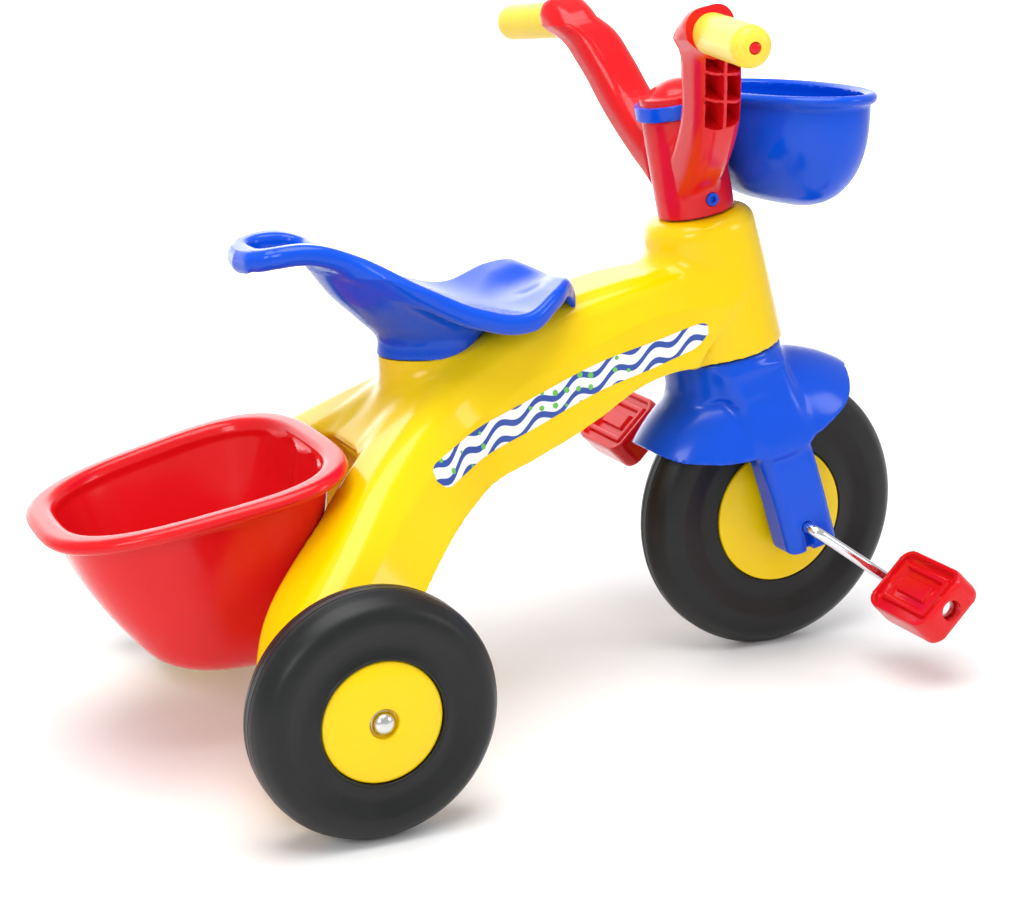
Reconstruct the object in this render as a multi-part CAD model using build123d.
from build123d import *
from math import cos, sin, radians, hypot, sqrt
import os

os.makedirs("parts", exist_ok=True)

# A moulded-plastic children's tricycle. Millimetres, +X forward, +Y to the rider's left, +Z up.
# Everything is drawn with the rear axle over X = 0 and the floor at Z = 0, and moved at the very
# end so that the origin lies at the bottom centre of the whole tricycle's box.

# Wheels and axles
WHEELBASE = 420.0
REAR_R = 85.0
REAR_HALF_W = 23.5
REAR_HUB_R = 41.8
REAR_WHEEL_Y = 208.4
FRONT_R = 113.0
FRONT_HALF_W = 22.0
FRONT_HUB_R = 56.0
REAR_HUB_FACE = 23.2      # outer face of a hub, from the wheel's middle plane
FRONT_HUB_FACE = 23.8
REAR_RECESS_R = 10.0
FRONT_RECESS_R = 12.0
RECESS_DEPTH = 5.0
TYRE_LIP = 5.0            # how far the tyre's edge beside the hub is set back
AXLE_R = 5.0
CRANK_R = 4.5
WALL = 3.0
RUN = 0.05            # running clearance of a shaft in its hole
GAP = 0.3             # gap between faces that move past each other

# Steering, drawn upright about its own axis and then leaned back by RAKE
RAKE = 11.6
STEER_FOOT_X = 425.7  # where the steering axis meets the floor
STEM_R = 21.0
CROWN_R = 47.0
CROWN_S = (232.0, 258.0)
HEAD_S = (258.4, 367.0)
HEAD_R = (51.0, 42.0)
HEAD_SHOULDER_R = 12.0
COLLAR_R = 29.9
COLLAR_S = (369.2, 446.0)
DOME_R = 28.0
DOME_S = (456.0, 472.0)
PIN_S = 381.0
PIN_R = 5.0
WHEEL_FORWARD = (WHEELBASE - STEER_FOOT_X) * cos(radians(RAKE)) + FRONT_R * sin(radians(RAKE))
WHEEL_S = FRONT_R * cos(radians(RAKE)) - (WHEELBASE - STEER_FOOT_X) * sin(radians(RAKE))

# Fork legs and mudguard
LEG_INNER_Y = 27.0
LEG_OUTER_Y = 63.0
LEG_LENGTH_X = 44.0
LEG_BOTTOM_S = 91.0
GUARD_R = 134.5
GUARD_HALF_W = 57.0
GUARD_EDGE = [(-90, 206), (-80, 196), (-50, 184), (-10, 178), (30, 179), (62, 188), (84, 199), (96, 212)]
GUARD_WALL = 2.6

# Handlebar grips
GRIP_R = 14.5
GRIP_INNER = (-26.0, 118.6, 518.3)
GRIP_OUTER = (-39.4, 200.3, 515.5)
PEG_R = 9.0
PEG_TIP_R = 3.5
BAR_ARM = [(-5, 20, 404, 36, 32, 40), (-6, 43, 424, 36, 32, 42), (-9, 67, 451, 36, 33, 57),
           (-13, 86, 484, 35, 33, 60), (-19, 102, 508, 34, 30, 32), (-26, 116, 517.5, 32, 29, 0)]

# Basket in front of the bars
BASKET_X = 423.5
BASKET_RIM_Z = 449.0
BASKET_HALF = (53.0, 92.0)
BASKET_DEPTH = 88.0
BASKET_WALL = 2.6
BASKET_BEAD_R = 3.6
BASKET_RING_TOP_S = 457.0

# Crank and pedals
CRANK_THROW = (65.1, -47.3)
CRANK_KNEE_Y = 74.0
CRANK_ARM_Y = 80.0
PEDAL_Y = 127.7
PEDAL_SIZE = (56.0, 76.0, 25.0)
PEDAL_TILT = 45.0
PEDAL_CORNER_R = 13.0
CRANK_BEND_R = 9.0
CRANK_PAST_PEDAL = 31.0

# Body and seat
LEG_FACE_Y = 180.0
LEG_FOOT_Z = 30.0
CAVITY_DROP = 40.0        # the body's cavity runs out this far below its open underside
BOSS_R = 13.0
POST_X = 129.0
POST_A = 40.0
POST_B = 31.0
POST_TOP_Z = 272.0
BODY_CORNER_R = 18.0
SCREW_R = 2.5
SCREW_LENGTH = 20.0
SEAT_HALF_W = 80.0
SEAT_BACK_X = -18.0
SEAT_FRONT_X = 240.0
SEAT_THICK = 15.0
SEAT_NECK_TOP_Z = 286.0

# Bucket behind the seat
BUCKET_BACK_X = -166.0
BUCKET_FRONT_X = 40.0
BUCKET_RIM_BACK_Z = 176.0
BUCKET_RIM_FRONT_Z = 218.0
BUCKET_FLOOR_Z = 62.0
BUCKET_HALF_W_BACK = 78.0
BUCKET_HALF_W_FRONT = 104.0
BUCKET_CORNER = 62.0
BUCKET_LIP = 13.0
BUCKET_RIM_THICK = 9.0

nodes = {}


def lean(shape):
    """Put something drawn about the upright steering axis into its leaning place."""
    return Pos(STEER_FOOT_X, 0, 0) * Rot(0, -RAKE, 0) * shape


def spin(points):
    """Solid of revolution about Y from (radius, y) points joined by straight lines."""
    return revolve(make_face(Polyline(*points, close=True)), Axis.Y)


# ---------------------------------------------------------------- wheels
def tyre(radius, half_width, hub_radius):
    """Moulded black tyre, hollow and open towards the hub, with two fine seams round the tread."""
    lip = half_width - TYRE_LIP
    band = half_width * 0.42
    shoulder = (radius + hub_radius) / 2 + 4
    with BuildSketch() as outline:
        with BuildLine():
            left = Spline((hub_radius + 6, -lip), (shoulder, -half_width), (radius, -band),
                          tangents=((1, -0.35), (0.25, 1)))
            top = Line((radius, -band), (radius, band))
            right = Spline((radius, band), (shoulder, half_width), (hub_radius + 6, lip),
                           tangents=((-0.25, 1), (-1, -0.35)))
            Polyline((hub_radius + 6, lip), (hub_radius, lip), (hub_radius, -lip), (hub_radius + 6, -lip))
        make_face()
    body = revolve(outline.sketch, Axis.Y)
    core_w = half_width - WALL - 3.0
    core = Pos((radius + hub_radius) / 2 - 3, 0) * RectangleRounded(radius - hub_radius - 2, 2 * core_w, 7)
    mouth = Pos(hub_radius, 0) * Rectangle(16, 2 * (lip - 6))
    body -= revolve(core + mouth, Axis.Y)
    for y in (-3.0, 3.0):
        body -= revolve(Pos(radius, y) * Rectangle(1.4, 0.8), Axis.Y)
    return body


def hub_half(hub_radius, face_y, bore, recess):
    """Yellow hub disc with a rim flange and a boss; drawn for the +Y side."""
    boss = 13.0
    edge = face_y - 4.0
    flange_in = 4.0
    section = [(bore, 0.4), (boss, 0.4), (boss, face_y - 4 - WALL), (hub_radius - WALL, edge - WALL - 1.5),
               (hub_radius - WALL, flange_in), (hub_radius, flange_in), (hub_radius, edge),
               (hub_radius - 1.2, edge + 1.2), (hub_radius * 0.72, face_y - 1.0), (hub_radius * 0.4, face_y),
               (recess + 1.2, face_y), (recess, face_y - 1.2), (recess, face_y - RECESS_DEPTH),
               (bore, face_y - RECESS_DEPTH)]
    return spin(section)


def wheel_parts(radius, half_width, hub_radius, face_y, bore, recess):
    outer = hub_half(hub_radius, face_y, bore, recess)
    return tyre(radius, half_width, hub_radius), outer, mirror(outer, Plane.XZ)


for side, sign in (("left", 1), ("right", -1)):
    place = Pos(0, sign * REAR_WHEEL_Y, REAR_R)
    rubber, plus_y, minus_y = wheel_parts(REAR_R, REAR_HALF_W, REAR_HUB_R, REAR_HUB_FACE,
                                           AXLE_R + RUN, REAR_RECESS_R)
    nodes[f"rear_tyre_{side}"] = place * rubber
    nodes[f"rear_hub_outer_{side}"] = place * (plus_y if sign > 0 else minus_y)
    nodes[f"rear_hub_inner_{side}"] = place * (minus_y if sign > 0 else plus_y)

front_place = Pos(WHEELBASE, 0, FRONT_R)
rubber, plus_y, minus_y = wheel_parts(FRONT_R, FRONT_HALF_W, FRONT_HUB_R, FRONT_HUB_FACE,
                                       CRANK_R, FRONT_RECESS_R)
nodes["front_tyre"] = front_place * rubber
nodes["front_hub_left"] = front_place * plus_y
nodes["front_hub_right"] = front_place * minus_y

# Rear axle: one steel rod through both legs, a push-on cap at each end, a spacer inside each wheel
recess_floor = REAR_HUB_FACE - RECESS_DEPTH
cap_y = REAR_WHEEL_Y + recess_floor
axle_end = cap_y + GAP + 3.0
nodes["rear_axle"] = Pos(0, 0, REAR_R) * Rot(90, 0, 0) * Cylinder(AXLE_R, 2 * axle_end)
cap_section = [(0, 3.0), (AXLE_R, 3.0), (AXLE_R, 0), (8.8, 0), (8.8, 1.2), (7.7, 1.6), (7.0, 4.0),
               (5.2, 6.2), (2.8, 7.4), (0, 7.8)]
cap = Pos(0, cap_y + GAP, REAR_R) * spin(cap_section)
nodes["rear_axle_caps"] = [cap, mirror(cap, Plane.XZ)]
spacer_end = REAR_WHEEL_Y - recess_floor - GAP - LEG_FACE_Y
spacer_section = [(AXLE_R, 0), (9.0, 0), (9.0, spacer_end), (AXLE_R, spacer_end)]
spacer = Pos(0, LEG_FACE_Y, REAR_R) * spin(spacer_section)
nodes["axle_spacers"] = [spacer, mirror(spacer, Plane.XZ)]

# ---------------------------------------------------------------- crank and pedals
throw_x, throw_z = CRANK_THROW
rod_end_y = PEDAL_Y + CRANK_PAST_PEDAL
half_path = [(0, -CRANK_KNEE_Y, 0), (throw_x, -CRANK_ARM_Y, throw_z), (throw_x, -rod_end_y, throw_z)]
path_points = [(-x, -y, -z) for x, y, z in reversed(half_path)] + half_path
crank_path = FilletPolyline(*path_points, radius=CRANK_BEND_R)
crank_end = Plane(origin=crank_path @ 0, z_dir=crank_path % 0)
crank = front_place * sweep(crank_end * Circle(CRANK_R), path=crank_path)


def pedal_spot(sign):
    """Centre of a pedal: the right one (sign -1) points forward and down, the left one back and up."""
    return Pos(WHEELBASE - sign * throw_x, sign * PEDAL_Y, FRONT_R - sign * throw_z)


# squeezed wings on the rod keep each pedal in place
for sign in (1, -1):
    wing = Pos(0, -sign * (PEDAL_SIZE[1] / 2 + 1.8), 0) * Box(12.0, 2.6, 3.0)
    crank += pedal_spot(sign) * Rot(0, -PEDAL_TILT, 0) * wing
nodes["crank_rod"] = crank


def pedal(sign):
    length, width, thick = PEDAL_SIZE
    outline = RectangleRounded(length, width, PEDAL_CORNER_R)
    core = extrude(outline, 4.5, both=True)
    walls = outline - RectangleRounded(length - 7, width - 7, PEDAL_CORNER_R - 3)
    walls += RectangleRounded(length - 17, width - 19, 7) - RectangleRounded(length - 22, width - 24, 5)
    walls += RectangleRounded(length - 33, width - 40, 3)
    block = core + extrude(walls, thick / 2, both=True)
    barrel = Rot(90, 0, 0) * Cylinder(9.5, width - 6)
    block += barrel
    bore = Pos(0, -sign * 6, 0) * Rot(90, 0, 0) * Cylinder(CRANK_R + RUN, width + 6)
    pocket = Pos(0, sign * (width / 2), 0) * Rot(90, 0, 0) * Cylinder(8.0, 18)
    return pedal_spot(sign) * Rot(0, -PEDAL_TILT, 0) * (block - bore - pocket)


locks = []
for side, sign in (("left", 1), ("right", -1)):
    nodes[f"pedal_{side}"] = pedal(sign)
    ring = Rot(90, 0, 0) * (Cylinder(6.8, 1.4) - Cylinder(CRANK_R, 3))
    locks.append(pedal_spot(sign) * Pos(0, sign * 30.2, 0) * ring)
nodes["pedal_lock_rings"] = locks

# ---------------------------------------------------------------- fork and mudguard
crown = Pos(0, 0, sum(CROWN_S) / 2) * Cylinder(CROWN_R, CROWN_S[1] - CROWN_S[0])
crown = fillet(crown.edges().group_by(Axis.Z)[-1], 3)
stem_top = COLLAR_S[1] - 4
stem = Pos(0, 0, (CROWN_S[0] + stem_top) / 2) * Cylinder(STEM_R, stem_top - CROWN_S[0])
fork = crown + stem


def fork_leg(sign):
    """One leg; each section is (height, forward place, inner face, outer face, length along X)."""
    stations = [(CROWN_S[0] + 8, 6, 25, 45.5, 54), (205, 11, LEG_INNER_Y, 53, 50),
                (150, 17, LEG_INNER_Y, 60, 46), (LEG_BOTTOM_S, 22, LEG_INNER_Y, LEG_OUTER_Y, LEG_LENGTH_X)]
    sections = []
    for s, x, inner, outer, length in stations:
        middle = sign * (inner + outer) / 2
        sections.append(Pos(x, middle, s) * RectangleRounded(length, outer - inner, 8))
    return loft(sections)


for sign in (1, -1):
    fork += fork_leg(sign)
axle_slot = Pos(WHEEL_FORWARD, 0, WHEEL_S) * Rot(90, 0, 0) * Cylinder(CRANK_R + 0.06, 4 * LEG_OUTER_Y)
fork -= axle_slot
for sign in (1, -1):
    mouth = Pos(WHEEL_FORWARD, sign * LEG_OUTER_Y, LEG_BOTTOM_S) * Box(7.4, 20, 2 * (WHEEL_S - LEG_BOTTOM_S))
    fork -= mouth
pin_bore = Pos(0, 0, PIN_S) * Rot(90, 0, 0) * Cylinder(PIN_R, 4 * COLLAR_R)
fork -= pin_bore
stem_hollow = Pos(0, 0, (CROWN_S[0] + stem_top) / 2 + 8) * Cylinder(STEM_R - 4, stem_top - CROWN_S[0])
fork -= stem_hollow

GUARD_SIDE_R = 66.0
GUARD_SHARES = (-1.0, -0.93, -0.8, -0.6, -0.35, 0, 0.35, 0.6, 0.8, 0.93, 1.0)
guard_rise = GUARD_R - GUARD_SIDE_R
guard_profile = [(GUARD_SIDE_R + guard_rise * sqrt(1 - y * y), y * GUARD_HALF_W) for y in GUARD_SHARES]


def guard_blank(inset):
    """Domed ring round the wheel; the mudguard is the part of it above the flat lower edge."""
    rim = [(r - inset, y * (GUARD_HALF_W - inset) / GUARD_HALF_W) for r, y in guard_profile]
    outline = make_face([Spline(*rim), Polyline(rim[-1], (30, rim[-1][1]), (30, rim[0][1]), rim[0])])
    return Pos(WHEEL_FORWARD, 0, WHEEL_S) * revolve(outline, Axis.Y)


guard_side = make_face([Spline(*GUARD_EDGE), Polyline(GUARD_EDGE[-1], (96, 260), (-90, 260), GUARD_EDGE[0])])
guard_keep = extrude(Plane.XZ * guard_side, 90, both=True)
fork += (guard_blank(0) - guard_blank(GUARD_WALL)) & guard_keep
tyre_room = Pos(WHEEL_FORWARD, 0, WHEEL_S) * Rot(90, 0, 0) * Cylinder(FRONT_R + 4, 2 * FRONT_HALF_W + 4)
fork -= tyre_room
fork -= stem_hollow
nodes["fork"] = lean(fork)

# ---------------------------------------------------------------- handlebar, grips, pin
dome_height = DOME_S[1] - DOME_S[0]
dome_sphere_r = (DOME_R ** 2 + dome_height ** 2) / (2 * dome_height)
dome = Pos(0, 0, DOME_S[1] - dome_sphere_r) * Sphere(dome_sphere_r)
dome &= Pos(0, 0, DOME_S[0] + dome_height / 2) * Cylinder(DOME_R, dome_height)
bar = Pos(0, 0, sum(COLLAR_S) / 2) * Cylinder(COLLAR_R, COLLAR_S[1] - COLLAR_S[0])
bar += Pos(0, 0, (COLLAR_S[1] + DOME_S[0]) / 2) * Cylinder(DOME_R, DOME_S[0] - COLLAR_S[1])
bar += dome


def bar_arm(sign):
    """One curved arm, from the collar out and up to the grip."""
    sections = []
    for x, y, s, depth, thick, climb in BAR_ARM:
        ahead = (0, sign * cos(radians(climb)), sin(radians(climb)))
        across = Plane(origin=(x, sign * y, s), x_dir=(1, 0, 0), z_dir=ahead)
        sections.append(across * RectangleRounded(depth, thick, 10))
    return loft(sections)


def along_grip(sign, radius, start, end):
    """Cylinder on the grip's axis, between two distances from the grip's inner end."""
    inner = Vector(GRIP_INNER[0], sign * GRIP_INNER[1], GRIP_INNER[2])
    outer = Vector(GRIP_OUTER[0], sign * GRIP_OUTER[1], GRIP_OUTER[2])
    direction = (outer - inner).normalized()
    base = Plane(origin=inner + direction * start, z_dir=direction)
    return base * Pos(0, 0, (end - start) / 2) * Cylinder(radius, end - start)


grip_length = hypot(*(a - b for a, b in zip(GRIP_INNER, GRIP_OUTER)))
for side, sign in (("left", 1), ("right", -1)):
    bar += bar_arm(sign)
    bar -= along_grip(sign, GRIP_R + 6, 0, grip_length)
    bar += along_grip(sign, PEG_R, -6, grip_length - 8)
    bar += along_grip(sign, PEG_TIP_R, grip_length - 9, grip_length - 0.6)
    grip = along_grip(sign, GRIP_R, 0, grip_length)
    end_edge = grip.edges().group_by(SortBy.LENGTH)[-1].sort_by(Axis.Y)[-1 if sign > 0 else 0]
    grip = fillet(end_edge, GRIP_R - 4.5)
    grip -= along_grip(sign, PEG_R, -1, grip_length - 8)
    grip -= along_grip(sign, PEG_TIP_R, grip_length - 9, grip_length + 1)
    nodes[f"grip_{side}"] = lean(grip)

bar -= Pos(0, 0, (COLLAR_S[0] + stem_top) / 2 - 5) * Cylinder(STEM_R, stem_top - COLLAR_S[0] + 10)
bar -= pin_bore
nodes["handlebar"] = lean(bar)
pin = Cylinder(PIN_R, 2 * COLLAR_R + 1.6)
for sign in (1, -1):
    pin -= Pos(0, 0, sign * (COLLAR_R + 5)) * Cylinder(PIN_R / 2, 13)
nodes["bar_lock_pin"] = lean(Pos(0, 0, PIN_S) * Rot(90, 0, 0) * pin)

# ---------------------------------------------------------------- front basket
bowl_r, bowl_side = BASKET_HALF[0], BASKET_HALF[1] - BASKET_HALF[0]
bowl_angles = [radians(a) for a in (14, 28, 42, 56, 70, 81)]
bowl_curve = [(bowl_r * sin(a), BASKET_DEPTH * (1 - cos(a) ** 0.9)) for a in bowl_angles]


def bowl_blank(shrink):
    """Solid bowl with a long round plan: two turned ends joined by a straight middle."""
    curve = [(0, shrink)] + [(r - shrink, z + shrink * (1 - z / BASKET_DEPTH)) for r, z in bowl_curve]
    curve.append((bowl_r - shrink, BASKET_DEPTH))
    half = make_face([Spline(*curve), Polyline(curve[-1], (0, BASKET_DEPTH), curve[0])])
    turned = revolve(Plane.XZ * half, Axis.Z)
    middle = extrude(Plane.XZ * (half + mirror(half, Plane.YZ)), bowl_side, both=True)
    return middle + Pos(0, bowl_side, 0) * turned + Pos(0, -bowl_side, 0) * turned


bead_line = Pos(0, 0, BASKET_DEPTH - 1.5)
bowl = bowl_blank(0)
for sign in (1, -1):
    half_space = Pos(0, sign * (bowl_side + 100), 0) * Box(400, 200, 400)
    bowl += bead_line * ((Pos(0, sign * bowl_side, 0) * Torus(bowl_r + 1, BASKET_BEAD_R)) & half_space)
    straight_bead = Rot(90, 0, 0) * Cylinder(BASKET_BEAD_R, 2 * bowl_side)
    bowl += bead_line * Pos(sign * (bowl_r + 1), 0, 0) * straight_bead
bowl -= bowl_blank(BASKET_WALL)
mouth_plan = SlotOverall(2 * (BASKET_HALF[1] - BASKET_WALL), 2 * (bowl_r - BASKET_WALL), 90)
bowl -= Pos(0, 0, BASKET_DEPTH - 1) * extrude(mouth_plan, 8)
basket_place = Pos(BASKET_X, 0, BASKET_RIM_Z - BASKET_DEPTH)
basket = basket_place * bowl
RING_S = (COLLAR_S[1] + 0.2, BASKET_RING_TOP_S)
ring_middle = sum(RING_S) / 2
strap = Pos(0, 0, ring_middle) * Cylinder(DOME_R + 5.0, RING_S[1] - RING_S[0])
strap += Pos(36, 0, ring_middle) * Box(30, 50, RING_S[1] - RING_S[0])
inside = extrude(SlotOverall(2 * (BASKET_HALF[1] - 1), 2 * (bowl_r - 1), 90), 300)
strap -= Pos(0, 0, ring_middle) * Cylinder(DOME_R, 30)
strap = lean(strap) - basket_place * inside
nodes["front_basket"] = basket + strap

# ---------------------------------------------------------------- body
BEAM = [(352, 0, 284, 0.05, 80, 76), (300, 0, 281, -0.1, 88, 78), (245, 0, 264, -0.35, 94, 94),
        (175, 0, 237, -0.5, 100, 100), (112, 0, 203, -0.7, 96, 92)]
LEG = [(150, 26, 222, -0.55, 56, 92), (91, 62, 189, -0.85, 68, 86), (37, 112, 147, -1.15, 72, 84),
       (-7, 140, 99, -1.6, 80, 92), (-11, 142, 54, -6.0, 76, 88)]


def run(stations, side, shrink=0, open_below=0):
    """Loft through sections of (x, y, z, slope going back, width, height), on the given side.

    A positive open_below makes each section that much deeper, so a cavity comes out underneath.
    """
    sections = []
    for x, y, z, slope, width, height in stations:
        back = Vector(-1, 0, slope).normalized()
        up = Vector(back.Z, 0, -back.X)
        centre = Vector(x, side * y, z) - up * (open_below / 2)
        across = Plane(origin=centre, x_dir=(0, 1, 0), z_dir=back)
        deep = height - 2 * shrink + open_below
        sections.append(across * RectangleRounded(width - 2 * shrink, deep, BODY_CORNER_R - shrink))
    return loft(sections)


def head(shrink):
    """Tapered head with a rounded shoulder; the hollow inside it is the same shape, smaller."""
    low, high = HEAD_S
    cone = Pos(0, 0, (low + high) / 2) * Cone(HEAD_R[0] - shrink, HEAD_R[1] - shrink, high - low)
    return fillet(cone.edges().group_by(Axis.Z)[-1], HEAD_SHOULDER_R - shrink)


def post(shrink, top):
    foot = Pos(POST_X, 0, 225) * Ellipse(POST_A + 3 - shrink, POST_B + 3 - shrink)
    crest = Pos(POST_X, 0, top) * Ellipse(POST_A - shrink, POST_B - shrink)
    return loft([foot, crest])


arch = run(BEAM, 1) + run(LEG, 1) + run(LEG, -1)
cavity = run(BEAM, 1, WALL, CAVITY_DROP) + run(LEG, 1, WALL, CAVITY_DROP) + run(LEG, -1, WALL, CAVITY_DROP)
shell = arch - Pos(-60, 0, LEG_FOOT_Z - 100) * Box(600, 600, 200)
between = Pos(0, 0, 200) * Box(900, 2 * LEG_FACE_Y, 600)
shell &= between
inner_limit = Pos(0, 0, 200) * Box(900, 2 * (LEG_FACE_Y - WALL), 700)
shell -= cavity & inner_limit
shell += post(0, POST_TOP_Z) - post(WALL, POST_TOP_Z - WALL)
shell -= lean(head(0))
shell += lean(head(0) - Pos(0, 0, -WALL) * head(WALL))
guide = Pos(0, 0, sum(HEAD_S) / 2) * Cylinder(STEM_R + 4, HEAD_S[1] - HEAD_S[0])
shell += lean(guide)
for sign in (1, -1):
    shell += Pos(0, sign * 142, REAR_R) * Rot(90, 0, 0) * Cylinder(BOSS_R, 72)
shell -= lean(Pos(0, 0, 300) * Cylinder(STEM_R + RUN, 400))
shell -= Pos(0, 0, REAR_R) * Rot(90, 0, 0) * Cylinder(AXLE_R, 500)
nodes["body_shell"] = shell


# ---------------------------------------------------------------- seat
SEAT_TOP = [(SEAT_BACK_X, 352), (-4, 361), (25, 364), (60, 353), (100, 330), (140, 311), (176, 306),
            (204, 321), (222, 327), (SEAT_FRONT_X, 311)]
SEAT_PLAN = [(SEAT_BACK_X, 0), (-10, 32), (22, 44), (60, 50), (105, 72), (150, SEAT_HALF_W), (190, 76),
             (224, 52), (SEAT_FRONT_X, 0)]
SCOOP = Pos(150, 0, 331) * scale(Sphere(1), by=(78, 60, 27))


def seat_blank():
    """The saddle: a bent slab cut to the plan of the seat, with a scoop for the rider."""
    under = [(x, z - SEAT_THICK) for x, z in SEAT_TOP]
    side_face = make_face([Spline(*SEAT_TOP), Line(SEAT_TOP[-1], under[-1]), Spline(*reversed(under)),
                           Line(under[0], SEAT_TOP[0])])
    bent = extrude(Plane.XZ * side_face, SEAT_HALF_W + 20, both=True)
    mirrored = [(x, -y) for x, y in reversed(SEAT_PLAN[1:-1])]
    plan = make_face(Spline(*SEAT_PLAN, *mirrored, periodic=True))
    slab = bent & extrude(plan, 600)
    return slab - SCOOP


seat = seat_blank()
bowl_rings = [(POST_X, SEAT_NECK_TOP_Z, POST_A + 1, POST_B + 1), (122, 300, 50, 43), (113, 318, 58, 54)]
seat += loft([Pos(x, 0, z) * Ellipse(a, b) for x, z, a, b in bowl_rings]) - SCOOP
seat += Pos(POST_X, 0, POST_TOP_Z) * extrude(Ellipse(POST_A + 1, POST_B + 1), SEAT_NECK_TOP_Z - POST_TOP_Z)
handle_gap = Pos(18, 0, 200) * extrude(RectangleRounded(42, 52, 15), 300)
seat -= handle_gap
seat -= run(BEAM, 1, -0.4)

screws = []
for x in (POST_X - 18, POST_X + 18):
    low = Pos(x, 0, POST_TOP_Z - WALL)
    shank = low * Pos(0, 0, SCREW_LENGTH / 2) * Cylinder(SCREW_R, SCREW_LENGTH)
    seat -= shank
    nodes["body_shell"] -= shank + low * Pos(0, 0, -15) * Cylinder(6, 30)
    screws.append(shank + low * Pos(0, 0, -1.5) * Cylinder(5.0, 3))
nodes["seat"] = seat
nodes["seat_screws"] = screws

# ---------------------------------------------------------------- bucket
rim_run = BUCKET_FRONT_X - BUCKET_BACK_X
rim_rise = BUCKET_RIM_FRONT_Z - BUCKET_RIM_BACK_Z
rim_length = hypot(rim_run, rim_rise)
rim_middle = ((BUCKET_FRONT_X + BUCKET_BACK_X) / 2, 0, (BUCKET_RIM_FRONT_Z + BUCKET_RIM_BACK_Z) / 2)
rim_plane = Plane(origin=rim_middle, x_dir=(rim_run, 0, rim_rise), z_dir=(-rim_rise, 0, rim_run))


def bucket_outline(grow):
    """Rounded trapezoid in the tilted plane of the rim, wider at the front."""
    half = rim_length / 2 + grow
    back, front = BUCKET_HALF_W_BACK + grow, BUCKET_HALF_W_FRONT + grow
    shape = make_face(Polyline((-half, -back), (half, -front), (half, front), (-half, back), close=True))
    return fillet(shape.vertices(), BUCKET_CORNER + grow)


def bucket_blank(inset):
    floor = Pos(-55, 0, BUCKET_FLOOR_Z + inset) * RectangleRounded(58 - 2 * inset, 60 - 2 * inset, 26 - inset)
    knee = Plane(origin=(-64, 0, 98 + inset / 2), x_dir=(1, 0, 0.12), z_dir=(-0.12, 0, 1))
    middle = knee * RectangleRounded(110 - 2 * inset, 118 - 2 * inset, 44 - inset)
    return loft([floor, middle, rim_plane * bucket_outline(-BUCKET_LIP - inset)])


bucket = bucket_blank(0)
bucket += rim_plane * extrude(bucket_outline(0), BUCKET_RIM_THICK / 2, both=True)
bucket -= bucket_blank(WALL)
bucket -= rim_plane * extrude(bucket_outline(-BUCKET_LIP - WALL), 20)
bucket -= arch
bucket -= post(0, POST_TOP_Z)
nodes["bucket"] = bucket.solids().sort_by(SortBy.VOLUME)[-1]


def pieces(item):
    return item if isinstance(item, list) else [item]


boxes = [piece.bounding_box() for item in nodes.values() for piece in pieces(item)]
shift_x = -(min(b.min.X for b in boxes) + max(b.max.X for b in boxes)) / 2
shift_y = -(min(b.min.Y for b in boxes) + max(b.max.Y for b in boxes)) / 2
shift_z = -min(b.min.Z for b in boxes)
for name, item in nodes.items():
    placed = [Pos(shift_x, shift_y, shift_z) * solid for piece in pieces(item) for solid in piece.solids()]
    export_step(placed[0] if len(placed) == 1 else Compound(placed), f"parts/{name}.step")
print(len(nodes), "nodes, moved by", round(shift_x, 4), round(shift_y, 4), round(shift_z, 4))
